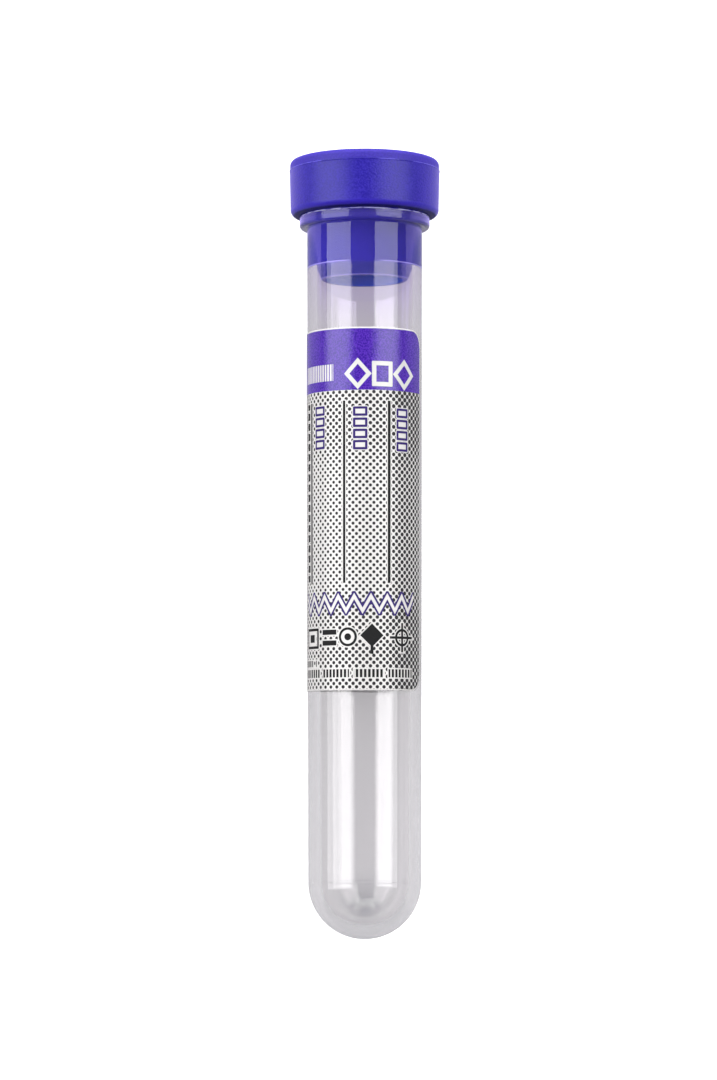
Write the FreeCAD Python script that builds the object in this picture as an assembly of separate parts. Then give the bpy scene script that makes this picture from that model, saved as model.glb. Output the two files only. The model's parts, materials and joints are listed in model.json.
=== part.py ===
import FreeCAD, Part
import math
import os

# Blood collection tube: a one-piece polypropylene tube with a round closed end and a flanged
# mouth, a hollow push-in stopper, and a film label wrapped round the barrel.
#
# Each piece is drawn upright about the tube's own axis, with z = 0 at the closed end, the
# stopper on top and the label's printed face towards -Y. The finished pieces are then laid
# down the way the closed tube comes to rest on a bench: on the stopper's widest ring and on
# the round end, with the axis along +Y, the printed face up and the bench at z = 0.

# ---- Tube ----------------------------------------------------------------------------------
TUBE_LENGTH = 75.0  # closed end to the flange's top face
NECK_RADIUS = 6.0  # outside of the barrel, just under the flange
END_RADIUS = 5.83  # outside of the round closed end
NECK_WALL = 0.95  # barrel wall at the mouth
HEEL_WALL = 1.33  # barrel wall where the round end begins
END_WALL = 1.36  # thickness of the closed end on the axis
MOUTH_ROUNDING = 0.3

FLANGE_OVERHANG = 0.78
FLANGE_HEIGHT = 1.3
FLANGE_TOP_ROUNDING = 0.2
FLANGE_UNDER_ROUNDING = 0.5
FLANGE_ROOT_FILLET = 0.15

# ---- Stopper -------------------------------------------------------------------------------
HEAD_HEIGHT = 5.86
HEAD_OVERHANG = 0.93  # past the flange, at the foot of the head
HEAD_FLARE = 0.15  # how much wider the head is at its ridge than at its foot
RIDGE_HEIGHT = 4.8  # parting ridge above the head's underside
RIDGE_LIP = 0.07  # the crown above the ridge is set back by this
FOOT_ROUNDING = 0.7
CROWN_ROUNDING = 0.9

PLUG_CLEARANCE = 0.03  # all round, between the plug and the bore
PLUG_GRIP = 5.48  # length of the plug that follows the bore
PLUG_LENGTH = 6.76  # from the head's underside to the plug's rim
PLUG_ROOT_FILLET = 0.2
NOSE_INSET = 0.5  # how far the nose draws in below the grip
NOSE_ROUNDING = 1.6
RIM_WIDTH = 0.65  # plug wall at its open rim
RIM_ROUNDING = 0.12
CAVITY_DRAFT_DEG = 1.5
CAVITY_ROUNDING = 0.8
CROWN_WALL = 1.8  # head's top wall over the cavity

# ---- Label ---------------------------------------------------------------------------------
LABEL_FOOT = 25.45  # lower edge above the closed end
LABEL_HEIGHT = 37.2
LABEL_WIDTH = 31.0  # along the wrap, so that a strip of the barrel stays clear
LABEL_RIGHT_EDGE_DEG = 71.6  # from the printed face's front line, towards +X
LABEL_THICKNESS = 0.06
LABEL_CORNER_RADIUS = 1.9
LABEL_GLUE = 0.01

ORIGIN = FreeCAD.Vector(0, 0, 0)
UP = FreeCAD.Vector(0, 0, 1)


def lean_onto_ball(radius, height, ball_radius):
    """Angle off the axis, in radians, of the line that touches a ball centred on the axis and
    runs through the point at this radius and at this height over the ball's centre."""
    return math.atan2(radius, height) - math.asin(ball_radius / math.hypot(radius, height))


# ---- Worked out ----------------------------------------------------------------------------
FLANGE_UNDER = TUBE_LENGTH - FLANGE_HEIGHT
FLANGE_RADIUS = NECK_RADIUS + FLANGE_OVERHANG
BARREL_LEAN = lean_onto_ball(NECK_RADIUS, FLANGE_UNDER - END_RADIUS, END_RADIUS)

BORE_MOUTH_RADIUS = NECK_RADIUS - NECK_WALL
BORE_END_RADIUS = END_RADIUS - HEEL_WALL
BORE_END_CENTRE = END_WALL + BORE_END_RADIUS
BORE_LEAN = lean_onto_ball(BORE_MOUTH_RADIUS, TUBE_LENGTH - BORE_END_CENTRE, BORE_END_RADIUS)

HEAD_FOOT_RADIUS = FLANGE_RADIUS + HEAD_OVERHANG
RIDGE_RADIUS = HEAD_FOOT_RADIUS + HEAD_FLARE
RIDGE_Z = TUBE_LENGTH + RIDGE_HEIGHT
TOP_Z = TUBE_LENGTH + HEAD_HEIGHT

REST_TILT = lean_onto_ball(RIDGE_RADIUS, RIDGE_Z - END_RADIUS, END_RADIUS)


def barrel_radius(height):
    """Outside radius of the barrel's straight taper."""
    return NECK_RADIUS - (FLANGE_UNDER - height) * math.tan(BARREL_LEAN)


def bore_radius(height):
    """Radius of the bore's straight taper."""
    return BORE_MOUTH_RADIUS - (TUBE_LENGTH - height) * math.tan(BORE_LEAN)


def at(radius, height):
    """A point of a half section, which runs down the middle of the printed side."""
    return FreeCAD.Vector(0, -radius, height)


def line(start, end):
    return Part.LineSegment(start, end).toShape()


def ball_arc(centre_z, radius, lean):
    """Section of a round end, from the axis to where a wall with this lean leaves it."""
    half_turn = (math.pi / 2 - lean) / 2
    middle = at(radius * math.sin(half_turn), centre_z - radius * math.cos(half_turn))
    end_radius, end_z = radius * math.cos(lean), centre_z - radius * math.sin(lean)
    arc = Part.Arc(at(0, centre_z - radius), middle, at(end_radius, end_z)).toShape()
    return arc, (end_radius, end_z, 0)


def outline(corners):
    """Edges of an open outline. A corner is (radius, height, rounding), and its rounding is
    kept within the straight stretches that it joins."""
    points = [at(radius, height) for radius, height, _ in corners]
    edges = []
    start = points[0]
    for before, corner, after, (_, _, rounding) in zip(points, points[1:], points[2:], corners[1:]):
        to_before = (before - corner).normalize()
        to_after = (after - corner).normalize()
        half = to_before.getAngle(to_after) / 2
        room = min(before.distanceToPoint(corner), corner.distanceToPoint(after))
        reach = min(rounding / math.tan(half), 0.48 * room)
        if reach > 0:
            radius = reach * math.tan(half)
            centre = corner + (to_before + to_after).normalize() * (radius / math.sin(half))
            near = corner + to_before * reach
            far = corner + to_after * reach
            middle = centre + (corner - centre).normalize() * radius
            edges += [line(start, near), Part.Arc(near, middle, far).toShape()]
            start = far
        else:
            edges.append(line(start, corner))
            start = corner
    edges.append(line(start, points[-1]))
    return edges


def turned(edges, degrees=360):
    """Solid made by turning a closed half section about the tube's axis."""
    section = Part.Face(Part.Wire(Part.sortEdges(edges)[0]))
    return section.revolve(ORIGIN, UP, degrees)


def make_tube():
    """Tapered barrel, round closed end, flange and rounded mouth, moulded in one piece."""
    outer_end, heel = ball_arc(END_RADIUS, END_RADIUS, BARREL_LEAN)
    inner_end, bore_heel = ball_arc(BORE_END_CENTRE, BORE_END_RADIUS, BORE_LEAN)
    wall = outline(
        [
            heel,
            (NECK_RADIUS, FLANGE_UNDER, FLANGE_ROOT_FILLET),
            (FLANGE_RADIUS, FLANGE_UNDER, FLANGE_UNDER_ROUNDING),
            (FLANGE_RADIUS, TUBE_LENGTH, FLANGE_TOP_ROUNDING),
            (BORE_MOUTH_RADIUS, TUBE_LENGTH, MOUTH_ROUNDING),
            bore_heel,
        ]
    )
    return turned([outer_end, *wall, inner_end, line(at(0, END_WALL), at(0, 0))])


def make_stopper():
    """Head that sits on the flange, and a hollow plug, open at its rim, that follows the bore."""
    rim_z = TUBE_LENGTH - PLUG_LENGTH
    grip_end_z = TUBE_LENGTH - PLUG_GRIP
    grip_end_radius = bore_radius(grip_end_z) - PLUG_CLEARANCE
    nose_radius = grip_end_radius - NOSE_INSET
    cavity_mouth_radius = nose_radius - RIM_WIDTH
    cavity_top_z = TOP_Z - CROWN_WALL
    cavity_narrowing = (cavity_top_z - rim_z) * math.tan(math.radians(CAVITY_DRAFT_DEG))
    half_section = outline(
        [
            (0, cavity_top_z, 0),
            (cavity_mouth_radius - cavity_narrowing, cavity_top_z, CAVITY_ROUNDING),
            (cavity_mouth_radius, rim_z, RIM_ROUNDING),
            (nose_radius, rim_z, RIM_ROUNDING),
            (grip_end_radius, grip_end_z, NOSE_ROUNDING),
            (BORE_MOUTH_RADIUS - PLUG_CLEARANCE, TUBE_LENGTH, PLUG_ROOT_FILLET),
            (HEAD_FOOT_RADIUS, TUBE_LENGTH, FOOT_ROUNDING),
            (RIDGE_RADIUS, RIDGE_Z, 0),
            (RIDGE_RADIUS - RIDGE_LIP, RIDGE_Z, 0),
            (RIDGE_RADIUS - RIDGE_LIP, TOP_Z, CROWN_ROUNDING),
            (0, TOP_Z, 0),
        ]
    )
    return turned([*half_section, line(at(0, TOP_Z), at(0, cavity_top_z))])


def corner_cutter(side, upward):
    """What rounds one corner of the film: a square block less a rod, both pointing forwards."""
    reach = 2 * LABEL_CORNER_RADIUS
    depth = 2 * NECK_RADIUS
    foot = FreeCAD.Vector(min(0, side * reach), -depth, min(0, upward * reach))
    block = Part.makeBox(reach, depth, reach, foot)
    rod = Part.makeCylinder(LABEL_CORNER_RADIUS, depth, ORIGIN, FreeCAD.Vector(0, -1, 0))
    return block.cut(rod)


def make_label():
    """Film with rounded corners, wrapped over the barrel's taper."""
    top_z = LABEL_FOOT + LABEL_HEIGHT
    foot_radius = barrel_radius(LABEL_FOOT) + LABEL_GLUE
    top_radius = barrel_radius(top_z) + LABEL_GLUE
    wrap_deg = math.degrees(LABEL_WIDTH / (foot_radius + LABEL_THICKNESS))
    left_edge_deg = LABEL_RIGHT_EDGE_DEG - wrap_deg
    section = [
        (foot_radius, LABEL_FOOT, 0),
        (foot_radius + LABEL_THICKNESS, LABEL_FOOT, 0),
        (top_radius + LABEL_THICKNESS, top_z, 0),
        (top_radius, top_z, 0),
        (foot_radius, LABEL_FOOT, 0),
    ]
    film = turned(outline(section), wrap_deg)
    film.rotate(ORIGIN, UP, left_edge_deg)
    corner_deg = math.degrees(math.asin(LABEL_CORNER_RADIUS / foot_radius))
    for side, edge_deg in ((1, LABEL_RIGHT_EDGE_DEG), (-1, left_edge_deg)):
        for upward, edge_z in ((1, top_z), (-1, LABEL_FOOT)):
            cutter = corner_cutter(side, upward)
            cutter.rotate(ORIGIN, UP, edge_deg - side * corner_deg)
            cutter.translate(UP * (edge_z - upward * LABEL_CORNER_RADIUS))
            film = film.cut(cutter)
    return film


def laid_down(pieces):
    """The pieces at rest on the plane z = 0, centred over the origin."""
    for piece in pieces.values():
        piece.rotate(ORIGIN, FreeCAD.Vector(1, 0, 0), math.degrees(REST_TILT) - 90)
    box = Part.makeCompound(list(pieces.values())).optimalBoundingBox()
    lift = END_RADIUS * (1 - math.sin(REST_TILT))
    for piece in pieces.values():
        piece.translate(FreeCAD.Vector(0, -(box.YMin + box.YMax) / 2, lift))
    return pieces


def main():
    os.makedirs("parts", exist_ok=True)
    pieces = {"tube": make_tube(), "stopper": make_stopper(), "label": make_label()}
    for name, piece in laid_down(pieces).items():
        piece.exportStep("parts/" + name + ".step")
        print(name, piece.isValid(), round(piece.Volume, 2), "mm3", piece.BoundBox)


main()
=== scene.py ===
import json
import math

import bpy
from mathutils import Matrix, Vector


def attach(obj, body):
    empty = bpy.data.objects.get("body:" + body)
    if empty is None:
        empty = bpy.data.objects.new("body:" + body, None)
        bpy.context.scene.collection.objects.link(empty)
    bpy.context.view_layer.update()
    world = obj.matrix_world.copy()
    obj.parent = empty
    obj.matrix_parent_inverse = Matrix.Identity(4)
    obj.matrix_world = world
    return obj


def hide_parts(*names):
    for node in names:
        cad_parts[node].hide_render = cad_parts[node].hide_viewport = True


# A closed blood collection tube that lies on a light table: a clear tube with a flanged mouth, a
# violet push-in stopper with a hollow plug, and a printed film label wrapped round the barrel.

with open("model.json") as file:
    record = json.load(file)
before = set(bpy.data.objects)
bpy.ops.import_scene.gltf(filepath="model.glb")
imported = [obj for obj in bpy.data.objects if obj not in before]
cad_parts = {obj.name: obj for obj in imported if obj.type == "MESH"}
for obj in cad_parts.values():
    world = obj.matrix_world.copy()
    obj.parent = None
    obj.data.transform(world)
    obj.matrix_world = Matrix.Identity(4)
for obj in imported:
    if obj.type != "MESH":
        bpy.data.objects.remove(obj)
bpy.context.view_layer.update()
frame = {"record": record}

MM = 0.001

# ---- Sizes of the object, in mm --------------------------------------------------------------
TUBE_LENGTH = 75.0  # closed end to the flange's top face
NECK_RADIUS = 6.0  # outside of the barrel, just under the flange
END_RADIUS = 5.83  # outside of the round closed end
NECK_WALL = 0.95
HEEL_WALL = 1.33
END_WALL = 1.36
MOUTH_ROUNDING = 0.3
WITNESS_DEPTH = 0.025  # of the fine groove where the round end meets the barrel
WITNESS_HEIGHT = 0.08
WITNESS_LEAD = 0.007  # radians from the groove back to the round end's last point

FLANGE_RADIUS = 6.78
FLANGE_UNDER = 73.7
FLANGE_TOP_ROUNDING = 0.2
FLANGE_UNDER_ROUNDING = 0.5
FLANGE_ROOT_FILLET = 0.15

HEAD_FOOT_RADIUS = 7.71
RIDGE_RADIUS = 7.86  # the head's widest ring
RIDGE_Z = 79.8
RIDGE_BEAD = 0.03  # the parting ridge stands out by this
RIDGE_LAND = 0.05  # height of the ridge's outer face
RIDGE_FOOT = 0.12  # from the ridge's top edge down to where it grows out of the skirt
RIDGE_LIP = 0.07  # the crown above the ridge is set back by this
RIDGE_STEP = 0.02  # rise of the ledge between the ridge and the crown
TOP_Z = 80.86
FOOT_ROUNDING = 0.7
CROWN_ROUNDING = 0.9
CROWN_WALL = 1.8  # over the plug's cavity

PLUG_GRIP = 5.48  # length of the plug that follows the bore
PLUG_LENGTH = 6.76
PLUG_SQUEEZE = 0.02  # the soft plug is drawn this far into the bore's wall
PLUG_ROOT_ROUNDING = 0.05
PLUG_ROOT_FILLET = 0.1
NOSE_INSET = 0.53  # how far the nose draws in from the bore's wall
NOSE_ROUNDING = 1.6
RIM_WIDTH = 0.65
RIM_ROUNDING = 0.12
CAVITY_DRAFT_DEG = 1.5
CAVITY_ROUNDING = 0.8

LABEL_FOOT = 25.45
LABEL_HEIGHT = 37.2
LABEL_WIDTH = 31.0
LABEL_RIGHT_EDGE_DEG = 71.6
LABEL_THICKNESS = 0.06
LABEL_CORNER_RADIUS = 1.9
LABEL_GLUE = 0.01


def lean_onto_ball(radius, height, ball_radius):
    """Angle off the axis of the line that touches a ball centred on the axis and runs through
    the point at this radius and at this height over the ball's centre."""
    return math.atan2(radius, height) - math.asin(ball_radius / math.hypot(radius, height))


BORE_MOUTH_RADIUS = NECK_RADIUS - NECK_WALL
BORE_END_RADIUS = END_RADIUS - HEEL_WALL
BORE_END_CENTRE = END_WALL + BORE_END_RADIUS
BARREL_LEAN = lean_onto_ball(NECK_RADIUS, FLANGE_UNDER - END_RADIUS, END_RADIUS)
BORE_LEAN = lean_onto_ball(BORE_MOUTH_RADIUS, TUBE_LENGTH - BORE_END_CENTRE, BORE_END_RADIUS)


def barrel_radius(z):
    """Outside radius of the barrel's straight taper."""
    return NECK_RADIUS - (FLANGE_UNDER - z) * math.tan(BARREL_LEAN)


def bore_radius(z):
    """Radius of the bore's straight taper."""
    return BORE_MOUTH_RADIUS - (TUBE_LENGTH - z) * math.tan(BORE_LEAN)


# ---- The object's own upright frame ------------------------------------------------------------
# Pieces are made upright, in metres: z runs up the tube from its closed end, and -y is the
# printed side. LAY turns that frame the way the tube lies on the bench.
record = frame["record"]
tube_axis = Vector(record["behaviour"]["joints"][0]["axis"]).normalized()
top_centre = Vector(next(m for m in record["mounts"] if m["name"] == "stopper_top")["pos_m"])
across = Vector((1.0, 0.0, 0.0))
behind = tube_axis.cross(across)
LAY = Matrix((across, behind, tube_axis)).transposed().to_4x4()
LAY.translation = top_centre - tube_axis * TOP_Z * MM


# ---- Outlines and turned pieces ----------------------------------------------------------------
def arc_points(centre, radius, start, end, step):
    """Points of an arc in the (r, z) plane, both ends included, about a step of angle apart."""
    count = max(2, round(abs(end - start) / step))
    return [
        (
            centre[0] + radius * math.cos(start + (end - start) * i / count),
            centre[1] + radius * math.sin(start + (end - start) * i / count),
        )
        for i in range(count + 1)
    ]


def rounded(corners, step=math.radians(7)):
    """Outline through corners (r, z, rounding), each rounded within the runs beside it."""
    points = [Vector(c[:2]) for c in corners]
    made = [points[0]]
    for before, corner, after, spec in zip(points, points[1:], points[2:], corners[1:]):
        to_before, to_after = (before - corner).normalized(), (after - corner).normalized()
        half = to_before.angle(to_after) / 2
        room = min((before - corner).length, (after - corner).length)
        reach = min(spec[2] / math.tan(half), 0.48 * room)  # leaves room for the next corner's
        if reach <= 0:
            made.append(corner)
            continue
        radius = reach * math.tan(half)
        centre = corner + (to_before + to_after).normalized() * (radius / math.sin(half))
        near, far = corner + to_before * reach - centre, corner + to_after * reach - centre
        turn = near.angle_signed(far)
        count = max(2, round(abs(turn) / step))
        for i in range(count + 1):
            angle = -turn * i / count
            made.append(centre + Matrix.Rotation(angle, 2) @ near)
    made.append(points[-1])
    return [tuple(p) for p in made]


def with_guards(profile, guard=0.04, longest=2.5):
    """Adds points close to the ends of long runs, so that smooth shading keeps them straight."""
    made = [profile[0]]
    for start, end in zip(profile, profile[1:]):
        a, b = Vector(start), Vector(end)
        length = (b - a).length
        if length > 4 * guard:
            inner = max(1, math.ceil((length - 2 * guard) / longest))
            for i in range(inner + 1):
                s = (guard + (length - 2 * guard) * i / inner) / length
                made.append(tuple(a.lerp(b, s)))
        made.append(end)
    return made


def turned(name, profile, segments=256):
    """Mesh object turned from an outline that starts and ends on the axis."""
    verts, rings = [], []
    for r, z in profile:
        if r < 1e-6:
            rings.append([len(verts)])
            verts.append((0.0, 0.0, z * MM))
        else:
            ring = []
            for i in range(segments):
                a = 2 * math.pi * i / segments
                ring.append(len(verts))
                verts.append((r * math.sin(a) * MM, r * math.cos(a) * MM, z * MM))
            rings.append(ring)
    faces = []
    for low, high in zip(rings, rings[1:]):
        for i in range(segments):
            j = (i + 1) % segments
            if len(low) == 1:
                faces.append((low[0], high[i], high[j]))
            elif len(high) == 1:
                faces.append((low[j], low[i], high[0]))
            else:
                faces.append((low[j], low[i], high[i], high[j]))
    return mesh_object(name, verts, faces)


def mesh_object(name, verts, faces):
    """A piece made upright, with its vertices laid down on the bench."""
    mesh = bpy.data.meshes.new(name)
    mesh.from_pydata([LAY @ Vector(v) for v in verts], [], faces)
    mesh.validate()
    mesh.update()
    for polygon in mesh.polygons:
        polygon.use_smooth = True
    obj = bpy.data.objects.new(name, mesh)
    bpy.context.scene.collection.objects.link(obj)
    return obj


# ---- Node materials ----------------------------------------------------------------------------
class Field:
    """A number that varies over a surface. Arithmetic on it adds Math nodes."""

    def __init__(self, tree, socket):
        self.tree, self.socket = tree, socket

    def math(self, operation, *others):
        """A Math node on this number and others, which are Fields or plain numbers."""
        node = self.tree.nodes.new("ShaderNodeMath")
        node.operation = operation
        for slot, value in zip(node.inputs, (self, *others)):
            if isinstance(value, Field):
                self.tree.links.new(value.socket, slot)
            else:
                slot.default_value = value
        return Field(self.tree, node.outputs[0])

    def __add__(self, other):
        return self.math("ADD", other)

    def __sub__(self, other):
        return self.math("SUBTRACT", other)

    def __mul__(self, other):
        return self.math("MULTIPLY", other)

    def __abs__(self):
        return self.math("ABSOLUTE")

    def above(self, other):
        return self.math("MAXIMUM", other)

    def below(self, other):
        return self.math("MINIMUM", other)

    def fraction(self):
        return self.math("FRACT")

    def squared(self):
        return self * self

    def root(self):
        return self.math("SQRT")


def by_ray(tree, kind, otherwise, for_kind):
    """A shader that is one thing to rays of this kind, and another to all others."""
    path = tree.nodes.new("ShaderNodeLightPath")
    mix = tree.nodes.new("ShaderNodeMixShader")
    tree.links.new(path.outputs[kind], mix.inputs[0])
    tree.links.new(otherwise, mix.inputs[1])
    tree.links.new(for_kind, mix.inputs[2])
    return mix.outputs[0]


class Surface:
    """One node material."""

    def __init__(self, name):
        self.material = bpy.data.materials.new(name)
        self.material.use_nodes = True
        self.tree = self.material.node_tree
        self.tree.nodes.clear()
        self.output = self.tree.nodes.new("ShaderNodeOutputMaterial")
        self.shader = self.tree.nodes.new("ShaderNodeBsdfPrincipled")
        self.tree.links.new(self.shader.outputs[0], self.output.inputs["Surface"])

    def set(self, **values):
        """Sets the shader's own sockets by name, with _ for a space."""
        for name, value in values.items():
            self.shader.inputs[name.replace("_", " ")].default_value = value

    def place(self, kind):
        """Coordinates as a vector socket: UV, or Object."""
        node = self.tree.nodes.new("ShaderNodeTexCoord")
        return node.outputs[kind]

    def parts(self, socket):
        """The three numbers of a vector or a colour."""
        node = self.tree.nodes.new("ShaderNodeSeparateXYZ")
        self.tree.links.new(socket, node.inputs[0])
        return [Field(self.tree, out) for out in node.outputs]

    def noise(self, socket, scale, detail):
        """A cloudy number between 0 and 1, with this many features to a metre."""
        node = self.tree.nodes.new("ShaderNodeTexNoise")
        node.inputs["Scale"].default_value = scale
        node.inputs["Detail"].default_value = detail
        self.tree.links.new(socket, node.inputs["Vector"])
        return Field(self.tree, node.outputs["Fac"])

    def ramp(self, value, low, high, at_low=0.0, at_high=1.0):
        """A number that goes from at_low to at_high while value goes from low to high."""
        node = self.tree.nodes.new("ShaderNodeMapRange")
        node.interpolation_type = "SMOOTHSTEP"
        self.tree.links.new(value.socket, node.inputs["Value"])
        for name, number in zip(
            ("From Min", "From Max", "To Min", "To Max"), (low, high, at_low, at_high)
        ):
            node.inputs[name].default_value = number
        return Field(self.tree, node.outputs["Result"])

    def tube_frame(self, place):
        """Height up the tube and distance from its axis, in mm, from Object coordinates."""
        x, y, z = self.parts(place)

        def along(direction):
            in_metres = y * direction.y + z * direction.z - LAY.translation.dot(direction)
            return in_metres * (1 / MM)

        return along(tube_axis), ((x * (1 / MM)).squared() + along(behind).squared()).root()

    def mix(self, factor, first, second):
        """Colour mix; first and second are colours or sockets. Slots 6 and 7 of a Mix node and
        its third output are the ones for colours."""
        node = self.tree.nodes.new("ShaderNodeMix")
        node.data_type = "RGBA"
        self.tree.links.new(factor.socket, node.inputs["Factor"])
        for slot, value in ((node.inputs[6], first), (node.inputs[7], second)):
            if isinstance(value, bpy.types.NodeSocket):
                self.tree.links.new(value, slot)
            else:
                slot.default_value = (*value, 1.0)
        return node.outputs[2]

    def bump(self, height, strength, distance):
        """A normal from a height, as if it stood this many metres out."""
        node = self.tree.nodes.new("ShaderNodeBump")
        node.inputs["Strength"].default_value = strength
        node.inputs["Distance"].default_value = distance
        self.tree.links.new(height.socket, node.inputs["Height"])
        return node.outputs["Normal"]

    def link(self, value, name):
        """Drives a socket of the shader with a Field or another socket."""
        socket = value.socket if isinstance(value, Field) else value
        self.tree.links.new(socket, self.shader.inputs[name])

    def let_lamps_through(self, colour):
        """Shadows of this surface are a tint of this colour, not solid."""
        clear = self.tree.nodes.new("ShaderNodeBsdfTransparent")
        clear.inputs[0].default_value = (*colour, 1.0)
        shown = by_ray(self.tree, "Is Shadow Ray", self.shader.outputs[0], clear.outputs[0])
        self.tree.links.new(shown, self.output.inputs["Surface"])


# ---- Shapes on a surface, as distances ---------------------------------------------------------
def box_distance(u, v, centre_u, centre_v, half_width, half_height, corner=0.0):
    """How far outside a box with rounded corners a point lies, in mm; negative inside."""
    a = abs(u - centre_u) - (half_width - corner)
    b = abs(v - centre_v) - (half_height - corner)
    if corner == 0.0:
        return a.above(b)
    out = (a.above(0.0).squared() + b.above(0.0).squared()).root()
    return out + a.above(b).below(0.0) - corner


def stroke(distance, width):
    """Turns a shape into its outline, a line of this width just inside its edge."""
    return abs(distance + width / 2) - width / 2


def repeat(coordinate, start, pitch):
    """The coordinate within each cell of a row of cells, from the cell's middle."""
    return ((coordinate - start) * (1 / pitch)).fraction() * pitch - pitch / 2


def ink(distance, soft=0.03):
    """1 inside a shape and 0 outside, with an edge this many mm wide."""
    return (distance * (-1 / soft) + 0.5).above(0.0).below(1.0)


# ---- Plastics ----------------------------------------------------------------------------------
def tube_plastic():
    """Milky clear polypropylene: glossy on the barrel and with a frosting on the flange. Violet
    light from the stopper and a highlight on the flange's top edge are painted into its colour.
    """
    clear, violet_bounce_tint = (0.91, 0.90, 0.905), (0.86, 0.79, 0.98)
    witness_grey, root_shade = (0.62, 0.62, 0.64), (0.38, 0.34, 0.62)
    frosted_violet_cast, worn_lip_highlight = (0.27, 0.21, 1.0), (0.62, 0.62, 1.0)

    surface = Surface("clear_tube")
    surface.set(IOR=1.49)
    place = surface.place("Object")
    height, radius = surface.tube_frame(place)

    # Painted light: towards the neck the barrel is tinted with violet light thrown back from the
    # stopper.
    cast_starts, cast_is_full = 60.6, 72.6
    colour = surface.mix(surface.ramp(height, cast_starts, cast_is_full), clear, violet_bounce_tint)

    # The mould's witness line, where the round end begins, shows in patches.
    patches = surface.ramp(surface.noise(place, 1800.0, 2.0), 0.40, 0.60, 0.25, 1.0)
    witness = ink(abs(height - END_RADIUS - 0.02) - 0.03, 0.06) * patches
    colour = surface.mix(witness, colour, witness_grey)

    # Painted shade: a dark ring in the crease where the flange grows out of the barrel.
    root = ink(abs(height - FLANGE_UNDER) - 0.04, 0.08) * ink(radius - NECK_RADIUS - 0.1, 0.1)
    colour = surface.mix(root, colour, root_shade)

    # The flange: frosted, and tinted violet as painted light that the stopper casts into it.
    flange = surface.ramp(radius, NECK_RADIUS - 0.30, NECK_RADIUS - 0.05)
    flange = flange * surface.ramp(height, FLANGE_UNDER - 0.20, FLANGE_UNDER + 0.05)
    colour = surface.mix(flange, colour, frosted_violet_cast)
    # Painted highlight: a pale, worn-looking line round the flange's top edge, in patches, stands
    # in for lamplight glinting there; it also lowers the transmission and adds roughness.
    lip_highlight_patches = surface.ramp(surface.noise(place, 900.0, 2.0), 0.35, 0.60, 0.45, 1.0)
    lip_highlight = ink(abs(height - TUBE_LENGTH + 0.13) - 0.06, 0.05) * flange * lip_highlight_patches
    surface.link(surface.mix(lip_highlight, colour, worn_lip_highlight), "Base Color")

    surface.link(flange * 0.13 + lip_highlight * 0.2 + witness * 0.3 + 0.015, "Roughness")
    surface.link(flange * -0.12 + lip_highlight * -0.75 + 0.992, "Transmission Weight")
    waviness = surface.noise(place, 260.0, 1.0)
    grain = surface.noise(place, 5200.0, 1.0) * flange * 6.0
    surface.link(surface.bump(waviness + grain, 0.025, 0.0004), "Normal")
    surface.let_lamps_through((0.93, 0.93, 0.94))
    return surface.material


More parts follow.
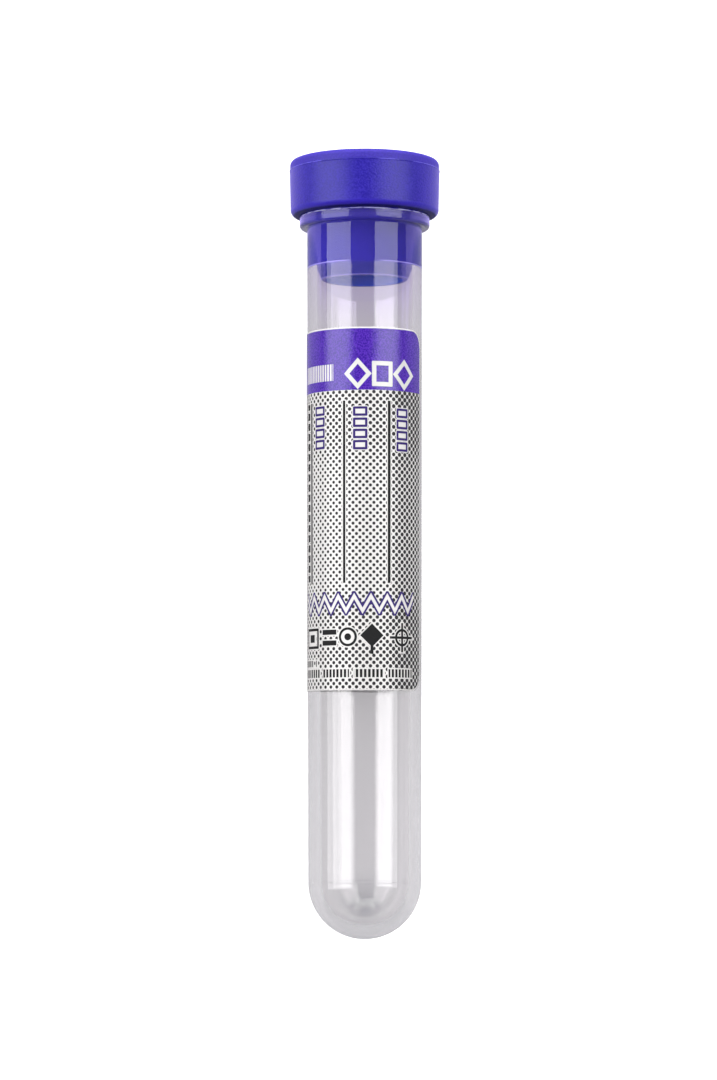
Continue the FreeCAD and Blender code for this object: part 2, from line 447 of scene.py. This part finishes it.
def stopper_plastic():
    """Violet polyethylene with a fine satin grain. Light and shade on the crown, ridge, foot,
    underside and plug are painted into its colour.
    """
    skirt_dark, skirt_light = (0.0115, 0.0046, 0.240), (0.0240, 0.0125, 0.335)
    crown_lit_dark, crown_lit_light = (0.026, 0.013, 0.295), (0.038, 0.021, 0.365)
    ledge_shade, scuffed_highlight = (0.008, 0.004, 0.180), (0.090, 0.070, 0.550)
    foot_painted_light, underside_shade = (0.036, 0.020, 0.460), (0.002, 0.001, 0.150)
    plug_shaded_dark, plug_shaded_light = (0.012, 0.005, 0.272), (0.014, 0.006, 0.285)
    nose_shade, grip_end_highlight_colour = (0.004, 0.004, 0.210), (0.320, 0.280, 0.700)
    rim_highlight, hollow_painted_blue = (0.165, 0.150, 0.520), (0.002, 0.056, 0.660)

    surface = Surface("violet_stopper")
    surface.set(IOR=1.5, Specular_IOR_Level=0.32)
    place = surface.place("Object")
    height, radius = surface.tube_frame(place)
    over_flange, over_ridge = height - TUBE_LENGTH, height - RIDGE_Z
    # Away from the middle, where the lamps' highlights run; painted highlights are kept to it.
    off_middle = surface.ramp(abs(surface.parts(place)[0]), 0.0011, 0.0019)
    grain = surface.noise(place, 5200.0, 2.0)
    cloud = surface.noise(place, 420.0, 3.0)
    speck = surface.ramp(grain * 0.8 + cloud * 0.2, 0.36, 0.64)

    # The head: skirt and crown, the crown painted lighter as light from above, with the ledge and
    # the scuffs of the parting ridge between them; the ledge is painted shade and the scuffs are
    # painted highlights.
    crown = surface.ramp(height, RIDGE_Z, RIDGE_Z + 0.2)
    skirt_colour = surface.mix(speck, skirt_dark, skirt_light)
    colour = surface.mix(crown, skirt_colour, surface.mix(speck, crown_lit_dark, crown_lit_light))
    # Painted shade on the ledge between the ridge and the crown.
    ledge = ink(abs(over_ridge - 0.01) - 0.02)
    colour = surface.mix(ledge, colour, ledge_shade)
    # Painted highlights: pale scuffs along the parting ridge, in patches, only off the middle where
    # the lamps' highlights run.
    ridge_scuff_highlight = ink(abs(over_ridge + 0.02) - 0.05) * surface.ramp(cloud, 0.42, 0.55) * off_middle
    colour = surface.mix(ridge_scuff_highlight, colour, scuffed_highlight)
    # Painted light: the foot of the head, just above the flange, is lightened.
    colour = surface.mix(ink(over_flange - 0.55, 0.4), colour, foot_painted_light)
    # Painted shade under the head, where it overhangs the flange.
    underside = ink(over_flange - 0.13, 0.10)
    colour = surface.mix(underside, colour, underside_shade)

    # The plug, painted as a darker, shaded copy of the violet where it sits in the bore: grip, nose
    # in painted shade, the line where the grip ends and the rim as painted highlights, and the
    # hollow.
    plug = ink(over_flange + 0.05, 0.1)
    colour = surface.mix(plug, colour, surface.mix(cloud, plug_shaded_dark, plug_shaded_light))
    colour = surface.mix(ink(over_flange + PLUG_GRIP, 0.3), colour, nose_shade)
    # Painted highlight: a pale line where the grip ends, only off the middle where the lamps'
    # highlights run.
    grip_end_highlight = ink(abs(over_flange + PLUG_GRIP - 0.16) - 0.05, 0.06) * off_middle
    colour = surface.mix(grip_end_highlight, colour, grip_end_highlight_colour)
    # Painted highlight on the face of the rim.
    colour = surface.mix(ink(over_flange + PLUG_LENGTH - 0.10, 0.06), colour, rim_highlight)
    # The inside of the hollow is painted teal-blue, standing in for the light and shade within the
    # cavity.
    hollow_radius, hollow_top = 4.05, 79.5
    hollow = ink(radius - hollow_radius, 0.3) * ink(height - hollow_top, 0.3)
    surface.link(surface.mix(hollow, colour, hollow_painted_blue), "Base Color")

    matt = (plug * 0.4).above(underside * 0.2).above(crown * 0.2)
    surface.link(surface.ramp(grain, 0.3, 0.7, 0.34, 0.44) + matt, "Roughness")
    surface.link(surface.bump(grain, 0.50, 0.00005), "Normal")
    return surface.material


# ---- The label's print, from simple shapes -----------------------------------------------------
PAPER = (0.675, 0.660, 0.652)
BLACK = (0.004, 0.004, 0.005)
DOT_GREY = (0.022, 0.020, 0.023)
FORM_VIOLET = (0.022, 0.008, 0.125)
HEADER_DARK, HEADER_LIGHT = (0.034, 0.008, 0.245), (0.088, 0.026, 0.420)
HEADER_MARK = (0.64, 0.64, 0.62)
PRINT_MARGIN = 0.14
HEADER_FOOT = 30.72


class Sheet:
    """The film's printed face. Places on it are in mm, u from its left edge and v from its
    foot, and shapes are distances that are negative inside."""

    def __init__(self, surface):
        shares = surface.parts(surface.place("UV"))
        self.surface = surface
        self.u, self.v = shares[0] * LABEL_WIDTH, shares[1] * LABEL_HEIGHT
        self.colour = PAPER
        middle_u, middle_v = LABEL_WIDTH / 2, LABEL_HEIGHT / 2
        outline = self.box(middle_u, middle_v, middle_u, middle_v, LABEL_CORNER_RADIUS)
        self.printed = outline + PRINT_MARGIN

    def box(self, u, v, half_width, half_height, corner=0.0):
        return box_distance(self.u, self.v, u, v, half_width, half_height, corner)

    def disc(self, u, v, radius):
        return ((self.u - u).squared() + (self.v - v).squared()).root() - radius

    def lay(self, amount, colour):
        self.colour = self.surface.mix(amount, self.colour, colour)

    def paint(self, shape, colour, bare=0.0, soft=0.03):
        """Prints a shape, with bare paper this far round it."""
        if bare:
            self.lay(ink(shape - bare, 0.05), PAPER)
        self.lay(ink(shape, soft), colour)


def print_halftone(sheet, panel):
    """Dots on a square lattice turned by 45 degrees, fatter towards both ends and to the right, a
    little thinner on the left as painted lightening where the lamp's highlight falls, and none on
    the panel."""
    pitch = 0.71
    u, v = sheet.u, sheet.v
    a, b = (u + v) * (1 / pitch), (u - v) * (1 / pitch)
    off_a, off_b = abs(a.fraction() - 0.5), abs(b.fraction() - 0.5)
    off = (off_a.squared() + off_b.squared()).root() * (pitch / math.sqrt(2))
    ends = sheet.surface.ramp(abs(v - 16.5), 5.5, 10.0, 0.0, 0.022)
    right = sheet.surface.ramp(u, 25.2, 27.8, 0.0, 0.050)
    # Painted highlight: the dots are a little thinner on the left, where the lamp's highlight lies.
    middle = sheet.surface.ramp(u, 18.5, 21.5, 0.152, 0.162)
    dots = ink(off - (ends + right + middle), 0.05)
    sheet.lay(dots * ink(sheet.printed, 0.05) * (ink(panel) * -1.0 + 1.0), DOT_GREY)


def print_form(sheet, panel):
    """Ruled lines, the panel's frame, tick boxes down each field and a broken line."""
    for line_u, half_width in ((16.80, 0.17), (21.43, 0.13), (26.12, 0.16)):
        sheet.paint(sheet.box(line_u, 20.3, half_width, 9.35), BLACK, 0.09)
    sheet.paint(stroke(panel, 0.12), BLACK)

    ticks, tick_pitch = 4, 1.15
    for field_u, top_v in ((18.35, 29.3), (23.1, 29.1), (27.7, 29.0)):
        cell_v = repeat(sheet.v, top_v - ticks * tick_pitch, tick_pitch)
        half_height = ticks * tick_pitch / 2
        field = sheet.box(field_u, top_v - half_height, 1.0, half_height)
        box = box_distance(sheet.u, cell_v, field_u, 0.0, 0.74, 0.49, 0.12)
        sheet.paint((box - 0.08).above(field), PAPER, soft=0.05)
        sheet.paint(stroke(box, 0.25).above(field), FORM_VIOLET)

    margin_u = 16.08
    dash = box_distance(sheet.u, repeat(sheet.v, 11.0, 1.05), margin_u, 0.0, 0.34, 0.38)
    sheet.paint(dash.above(sheet.box(margin_u, 20.4, 0.4, 9.2)), BLACK, 0.10)


def print_zigzag(sheet):
    """A double-lined zigzag across the foot of the fields."""
    period, rise = 1.72, 1.5
    fold = abs(repeat(sheet.u, 15.6, period)) * (rise / (period / 2))
    band = sheet.box(22.5, 8.86, 6.9, 1.25)
    zigzag = abs((sheet.v - 8.1) - fold) * 0.5 - 0.26
    sheet.paint(zigzag.above(band), PAPER)
    sheet.paint((abs(zigzag) - 0.10).above(band), FORM_VIOLET)


def print_marks(sheet):
    """Printer's marks: a frame, two bars, a ring, a diamond on a stem and a register cross."""
    sheet.paint(stroke(sheet.box(16.9, 5.35, 1.25, 1.05, 0.1), 0.28), BLACK, 0.12)
    sheet.paint(sheet.box(16.9, 5.35, 0.5, 0.4), BLACK, 0.3)
    for bar_v in (5.95, 4.85):
        sheet.paint(sheet.box(19.65, bar_v, 0.9, 0.26), BLACK, 0.12)
    sheet.paint(stroke(sheet.disc(21.8, 5.45, 0.97), 0.26), BLACK, 0.12)
    sheet.paint(sheet.disc(21.8, 5.45, 0.36), BLACK, 0.3)
    diamond = (abs(sheet.u - 24.3) + abs(sheet.v - 5.6)) * 0.7071 - 0.85
    sheet.paint(diamond, BLACK, 0.12)
    sheet.paint(sheet.box(24.3, 4.6, 0.15, 0.9), BLACK)
    cross = sheet.box(27.7, 5.4, 1.5, 0.13).below(sheet.box(27.7, 5.4, 0.13, 1.5))
    sheet.paint(cross.below(stroke(sheet.disc(27.7, 5.4, 0.9), 0.26)), BLACK, 0.12)


def print_words(sheet, low_u, high_u, low_v, high_v, colour, pitch, word):
    """A run of upright strokes with a gap after each word, in place of small print."""
    middle_u, half_u = (low_u + high_u) / 2, (high_u - low_u) / 2
    middle_v, half_v = (low_v + high_v) / 2, (high_v - low_v) / 2
    area = sheet.box(middle_u, middle_v, half_u, half_v)
    strokes = abs(repeat(sheet.u, low_u, pitch)) - pitch * 0.32
    words = abs(repeat(sheet.u, low_u, word)) - (word / 2 - pitch * 0.6)
    if colour == BLACK:
        sheet.paint(area.above(words) - 0.12, PAPER)
    sheet.paint(strokes.above(area).above(words), colour, soft=0.05)


def print_header(sheet, grain):
    """The violet band at the top, with small print and two diamonds beside a square."""
    mottle = sheet.surface.ramp(grain, 0.35, 0.65)
    mottled = sheet.surface.mix(mottle, HEADER_DARK, HEADER_LIGHT)
    sheet.paint(sheet.printed.above(sheet.v * -1.0 + HEADER_FOOT), mottled, soft=0.05)
    print_words(sheet, 10.2, 20.5, 31.75, 33.45, PAPER, 0.34, 5.1)
    for mark_u in (22.85, 27.95):
        diamond = (abs(sheet.u - mark_u) * 1.15 + abs(sheet.v - 32.4)) * 0.66 - 1.07
        sheet.paint(stroke(diamond, 0.42), HEADER_MARK)
    sheet.paint(stroke(sheet.box(25.4, 32.4, 1.1, 1.3, 0.1), 0.45), HEADER_MARK)


def label_film():
    """The film's face: paper and the header band are shiny, and the dark inks are matt."""
    surface = Surface("film_label")
    surface.set(IOR=1.5, Specular_IOR_Level=0.50)
    grain = surface.noise(surface.place("Object"), 6500.0, 1.0)
    sheet = Sheet(surface)
    panel = sheet.box(7.6, 18.6, 5.6, 10.4, 0.8)  # bare, for a sticker, at the back
    print_halftone(sheet, panel)
    print_form(sheet, panel)
    print_zigzag(sheet)
    print_marks(sheet)
    print_words(sheet, 15.0, 29.2, 1.33, 2.17, BLACK, 0.42, 3.6)
    print_words(sheet, 12.0, 17.9, 2.45, 3.1, BLACK, 0.42, 2.7)
    print_header(sheet, grain)
    surface.link(sheet.colour, "Base Color")
    blueness = surface.parts(sheet.colour)[2]
    surface.link(surface.ramp(blueness, 0.10, 0.24, 0.95, 0.18), "Roughness")
    surface.link(surface.bump(grain, 0.60, 0.00004), "Normal")
    return surface.material


def label_back():
    """The glued side of the film: plain white."""
    surface = Surface("film_back")
    surface.set(Roughness=0.5, IOR=1.5)
    fibre = surface.noise(surface.place("Object"), 3000.0, 3.0)
    surface.link(surface.mix(fibre, (0.66, 0.65, 0.67), (0.74, 0.73, 0.75)), "Base Color")
    return surface.material


# ---- Pieces ------------------------------------------------------------------------------------
def make_tube():
    """The tube's outside, mouth and bore, as one closed skin."""
    step = math.radians(2.5)
    outer_end = arc_points(
        (0, END_RADIUS), END_RADIUS, -math.pi / 2, -BARREL_LEAN - WITNESS_LEAD, step
    )
    heel_radius = END_RADIUS * math.cos(BARREL_LEAN)
    heel_z = END_RADIUS * (1 - math.sin(BARREL_LEAN))
    witness_line = [(heel_radius, heel_z), (heel_radius - WITNESS_DEPTH, heel_z + WITNESS_HEIGHT)]
    bore_end = arc_points(
        (0, BORE_END_CENTRE), BORE_END_RADIUS, -BORE_LEAN, -math.pi / 2, step
    )
    wall = rounded(
        [
            (heel_radius, heel_z + 2 * WITNESS_HEIGHT, 0),
            (NECK_RADIUS, FLANGE_UNDER, FLANGE_ROOT_FILLET),
            (FLANGE_RADIUS, FLANGE_UNDER, FLANGE_UNDER_ROUNDING),
            (FLANGE_RADIUS, TUBE_LENGTH, FLANGE_TOP_ROUNDING),
            (BORE_MOUTH_RADIUS, TUBE_LENGTH, MOUTH_ROUNDING),
            (*bore_end[0], 0),
        ]
    )
    profile = outer_end + witness_line + with_guards(wall) + bore_end[1:]
    profile[0], profile[-1] = (0.0, 0.0), (0.0, END_WALL)
    return turned("tube_skin", profile)


def make_stopper():
    """The head and the hollow plug, open at its rim."""
    cavity_top_z = TOP_Z - CROWN_WALL
    rim_z = TUBE_LENGTH - PLUG_LENGTH
    grip_end_z = TUBE_LENGTH - PLUG_GRIP
    grip_end_radius = bore_radius(grip_end_z) + PLUG_SQUEEZE
    nose_radius = bore_radius(grip_end_z) - NOSE_INSET
    cavity_mouth_radius = nose_radius - RIM_WIDTH
    cavity_narrowing = (cavity_top_z - rim_z) * math.tan(math.radians(CAVITY_DRAFT_DEG))
    crown_radius = RIDGE_RADIUS - RIDGE_LIP
    profile = rounded(
        [
            (0, cavity_top_z, 0),
            (cavity_mouth_radius - cavity_narrowing, cavity_top_z, CAVITY_ROUNDING),
            (cavity_mouth_radius, rim_z, RIM_ROUNDING),
            (nose_radius, rim_z, RIM_ROUNDING),
            (grip_end_radius, grip_end_z, NOSE_ROUNDING),
            (
                BORE_MOUTH_RADIUS + PLUG_SQUEEZE,
                TUBE_LENGTH - MOUTH_ROUNDING - PLUG_SQUEEZE,
                PLUG_ROOT_ROUNDING,
            ),
            (BORE_MOUTH_RADIUS + MOUTH_ROUNDING, TUBE_LENGTH, PLUG_ROOT_FILLET),
            (HEAD_FOOT_RADIUS, TUBE_LENGTH, FOOT_ROUNDING),
            (RIDGE_RADIUS - RIDGE_BEAD, RIDGE_Z - RIDGE_FOOT, RIDGE_LAND),
            (RIDGE_RADIUS, RIDGE_Z - RIDGE_LAND, RIDGE_BEAD),
            (RIDGE_RADIUS, RIDGE_Z, RIDGE_BEAD),
            (crown_radius, RIDGE_Z + RIDGE_STEP, RIDGE_STEP),
            (crown_radius, TOP_Z, CROWN_ROUNDING),
            (0, TOP_Z, 0),
        ]
    )
    return turned("stopper_skin", with_guards(profile))


def film_columns():
    """Places along the wrap, closer together where the corners are round."""
    corner, bend_steps, even_steps = LABEL_CORNER_RADIUS, 12, 150
    bend = [corner * (1 - math.cos(math.pi / 2 * i / bend_steps)) for i in range(bend_steps)]
    even = (LABEL_WIDTH - 2 * corner) / even_steps
    middle = [corner + even * i for i in range(even_steps + 1)]
    return bend + middle + [LABEL_WIDTH - b for b in reversed(bend)]


def film_rows():
    """Shares of the film's height. A narrow row at each end keeps the shading of the edge off
    the printed face."""
    narrow, even_steps = 0.002, 28
    even = (1 - 2 * narrow) / even_steps
    return [0.0] + [narrow + even * i for i in range(even_steps + 1)] + [1.0]


def make_label():
    """Film with rounded corners wrapped over the barrel: face, back and edges."""
    outside = barrel_radius(LABEL_FOOT) + LABEL_GLUE + LABEL_THICKNESS
    span = LABEL_WIDTH / outside
    left = math.radians(LABEL_RIGHT_EDGE_DEG) - span
    corner = LABEL_CORNER_RADIUS
    columns, rows = film_columns(), film_rows()
    verts, faces, uvs, backs = [], [], [], []
    for lift in (LABEL_THICKNESS, 0.0):
        for u in columns:
            inset = max(0.0, corner - min(u, LABEL_WIDTH - u))
            cut = corner - math.sqrt(max(0.0, corner**2 - inset**2))
            angle = left + span * u / LABEL_WIDTH
            for share in rows:
                v = cut + (LABEL_HEIGHT - 2 * cut) * share
                z = LABEL_FOOT + v
                r = barrel_radius(z) + LABEL_GLUE + lift
                verts.append((r * math.sin(angle) * MM, -r * math.cos(angle) * MM, z * MM))
                uvs.append((u / LABEL_WIDTH, v / LABEL_HEIGHT))
    per_side = len(columns) * len(rows)

    def index(side, i, j):
        return side * per_side + i * len(rows) + j

    last_column, last_row = len(columns) - 1, len(rows) - 1
    for i in range(last_column):
        for j in range(last_row):
            face = (index(0, i, j), index(0, i + 1, j), index(0, i + 1, j + 1), index(0, i, j + 1))
            faces.append(face)
            backs.append(len(faces))
            faces.append(tuple(k + per_side for k in reversed(face)))
        for j, flip in ((0, False), (last_row, True)):
            side = [index(0, i, j), index(1, i, j), index(1, i + 1, j), index(0, i + 1, j)]
            faces.append(tuple(reversed(side) if flip else side))
    for j in range(last_row):
        for i, flip in ((0, True), (last_column, False)):
            side = [index(0, i, j), index(1, i, j), index(1, i, j + 1), index(0, i, j + 1)]
            faces.append(tuple(reversed(side) if flip else side))
    obj = mesh_object("label_film", verts, faces)
    for face in backs:
        obj.data.polygons[face].material_index = 1
    layer = obj.data.uv_layers.new(name="UVMap")
    for loop in obj.data.loops:
        layer.data[loop.index].uv = uvs[loop.vertex_index]
    return obj


def add_piece(obj, materials, body, node):
    for material in materials:
        obj.data.materials.append(material)
    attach(obj, body)
    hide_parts(node)


add_piece(make_tube(), [tube_plastic()], "tube_body", "tube")
add_piece(make_stopper(), [stopper_plastic()], "stopper_body", "stopper")
add_piece(make_label(), [label_film(), label_back()], "tube_body", "label")


# ---- Bench, lamps and camera -------------------------------------------------------------------
def flat_object(name, corners):
    """A single face through four corners, in metres."""
    mesh = bpy.data.meshes.new(name)
    mesh.from_pydata(corners, [], [(0, 1, 2, 3)])
    obj = bpy.data.objects.new(name, mesh)
    bpy.context.scene.collection.objects.link(obj)
    return obj


def bench_tone(surface, x, y):
    """The bench's tone as the tube shows it, from the round end, at low y, to the stopper: darker
    at the round end and at the neck, with a painted shadow under the round end and painted violet
    light from the stopper.
    """
    end, barrel, neck = (0.165, 0.164, 0.170), (0.191, 0.189, 0.195), (0.167, 0.164, 0.173)
    end_painted_shadow, stopper_violet_bounce = (0.132, 0.134, 0.139), (0.30, 0.26, 0.49)
    tone = surface.mix(surface.ramp(y, -0.043, -0.039), end, barrel)
    tone = surface.mix(surface.ramp(y, -0.015, 0.020), tone, neck)
    # Painted shadow: a soft dark spot under the round end.
    end_shadow_distance = ((x * 350.0).squared() + ((y + 0.0376) * 330.0).squared()).root()
    tone = surface.mix(surface.ramp(end_shadow_distance, 0.0, 1.6), end_painted_shadow, tone)
    # Painted light: violet thrown onto the bench by the stopper, beyond the neck.
    return surface.mix(surface.ramp(y, 0.0335, 0.0360), tone, stopper_violet_bounce)


def make_bench():
    """A light table. The camera sees it pale and glowing. Seen in the tube or through it, it is
    duller and has its tones, and it sends only dim light back to what lies on it."""
    half = 1.6
    bench = flat_object(
        "bench", [(-half, -half, 0), (half, -half, 0), (half, half, 0), (-half, half, 0)]
    )
    surface = Surface("bench")
    surface.set(Roughness=0.9, Specular_IOR_Level=0.0)
    surface.set(Base_Color=(0.86, 0.86, 0.86, 1.0), Emission_Color=(1, 1, 1, 1))
    x, y = surface.parts(surface.place("Object"))[:2]

    # The glow rises away from the lamps' light, so that the bench stays white to its edge.
    away = (x.squared() + y.squared()).root()
    surface.link(surface.ramp(away, 0.3, 0.9, 0.45, 1.1), "Emission Strength")

    tree = surface.tree
    tone = bench_tone(surface, x, y)
    lit = tree.nodes.new("ShaderNodeBsdfDiffuse")
    glow = tree.nodes.new("ShaderNodeEmission")
    glow.inputs["Strength"].default_value = 2.5
    tree.links.new(tone, lit.inputs["Color"])
    tree.links.new(tone, glow.inputs["Color"])
    in_tube = tree.nodes.new("ShaderNodeAddShader")
    tree.links.new(lit.outputs[0], in_tube.inputs[0])
    tree.links.new(glow.outputs[0], in_tube.inputs[1])
    dim = tree.nodes.new("ShaderNodeBsdfDiffuse")
    tree.links.new(surface.ramp(y, 0.028, 0.036, 0.06, 0.5).socket, dim.inputs["Color"])
    unseen = by_ray(tree, "Is Diffuse Ray", in_tube.outputs[0], dim.outputs[0])
    shown = by_ray(tree, "Is Camera Ray", unseen, surface.shader.outputs[0])
    tree.links.new(shown, surface.output.inputs["Surface"])
    bench.data.materials.append(surface.material)


make_bench()

TUBE_MIDDLE = LAY @ Vector((0, 0, 40 * MM))


def area_lamp(name, place, outward, sideways, width, length, radiance):
    """A lamp that shines from place against outward, with its width along sideways."""
    lamp = bpy.data.lights.new(name, "AREA")
    lamp.shape = "RECTANGLE"
    lamp.size, lamp.size_y = width, length
    lamp.energy = radiance * math.pi * width * length
    obj = bpy.data.objects.new(name, lamp)
    bpy.context.scene.collection.objects.link(obj)
    turn = Matrix((sideways, outward.cross(sideways), outward)).transposed().to_4x4()
    obj.matrix_world = Matrix.Translation(place) @ turn
    obj.visible_camera = False


def softbox(name, side, near_deg, far_deg, low, high):
    """A long lamp beside the tube. near and far are its edges' angles off the vertical; low and
    high say how far it reaches along the tube, in metres from the tube's middle."""
    distance, radiance = 0.6, 3.65
    middle = math.radians((near_deg + far_deg) / 2)
    width = 2 * distance * math.tan(math.radians(far_deg - near_deg) / 2)
    outward = Vector((side * math.sin(middle), 0, math.cos(middle)))
    along = Vector((0, 1, 0))
    place = TUBE_MIDDLE + outward * distance + along * (low + high) / 2
    area_lamp(name, place, outward, along.cross(outward), width, high - low, radiance)


softbox("lamp_left", -1, 28, 81, -0.165, 0.755)
softbox("lamp_right", 1, 27, 69, -0.125, 0.755)
softbox("lamp_right_upper", 1, 20, 27, 0.050, 0.755)

# A square lamp beyond the stopper, which lights its crown.
crown_lamp_place = TUBE_MIDDLE + Vector((0, 0.5, 0.26))
area_lamp("lamp_over", crown_lamp_place, Vector((0, 1, 0)), Vector((1, 0, 0)), 0.5, 0.5, 3.4)


def make_flag():
    """A low black card on the left, which only reflections see: it parts lamp from bench."""
    x, height, reach = -90 * MM, 21 * MM, 0.6
    flag = flat_object(
        "flag", [(x, -reach, 0), (x, reach, 0), (x, reach, height), (x, -reach, height)]
    )
    surface = Surface("flag")
    surface.set(Roughness=0.9, Base_Color=(0.02, 0.02, 0.02, 1.0), Specular_IOR_Level=0.0)
    flag.data.materials.append(surface.material)
    flag.visible_camera = False
    flag.visible_diffuse = False
    flag.visible_shadow = False


make_flag()


def make_world():
    """White to the camera, and otherwise a dim room that is brighter on the stopper's side."""
    world = bpy.data.worlds.new("studio")
    bpy.context.scene.world = world
    world.use_nodes = True
    tree = world.node_tree
    tree.nodes.clear()
    white = tree.nodes.new("ShaderNodeBackground")
    white.inputs["Color"].default_value = (1, 1, 1, 1)
    white.inputs["Strength"].default_value = 1.2
    room = tree.nodes.new("ShaderNodeBackground")
    room.inputs["Color"].default_value = (1.0, 0.99, 1.0, 1)
    direction = tree.nodes.new("ShaderNodeTexCoord")
    parts = tree.nodes.new("ShaderNodeSeparateXYZ")
    tree.links.new(direction.outputs["Generated"], parts.inputs[0])
    lift = tree.nodes.new("ShaderNodeMapRange")
    for name, number in (("From Min", -0.7), ("From Max", 0.1), ("To Min", 0.02), ("To Max", 0.12)):
        lift.inputs[name].default_value = number
    tree.links.new(parts.outputs["Y"], lift.inputs["Value"])
    tree.links.new(lift.outputs["Result"], room.inputs["Strength"])
    output = tree.nodes.new("ShaderNodeOutputWorld")
    seen = by_ray(tree, "Is Camera Ray", room.outputs[0], white.outputs[0])
    tree.links.new(seen, output.inputs["Surface"])


make_world()


def make_camera():
    """The photo's view: over the printed face, nearer to the round end and looking up the tube."""
    place, tilt = Vector((-0.64, -339.75, 17.27)), 0.07026
    lens = bpy.data.cameras.new("camera")
    lens.lens = 109.40
    lens.sensor_width = 36.0
    lens.clip_start = 0.01
    lens.clip_end = 10.0
    camera = bpy.data.objects.new("camera", lens)
    bpy.context.scene.collection.objects.link(camera)
    view = Matrix(
        (
            (1, 0, 0),
            (0, -math.sin(tilt), math.cos(tilt)),
            (0, -math.cos(tilt), -math.sin(tilt)),
        )
    ).transposed().to_4x4()
    view.translation = place * MM
    camera.matrix_world = LAY @ view
    bpy.context.scene.camera = camera


make_camera()
bpy.context.scene.view_settings.view_transform = "Standard"

bpy.context.view_layer.update()
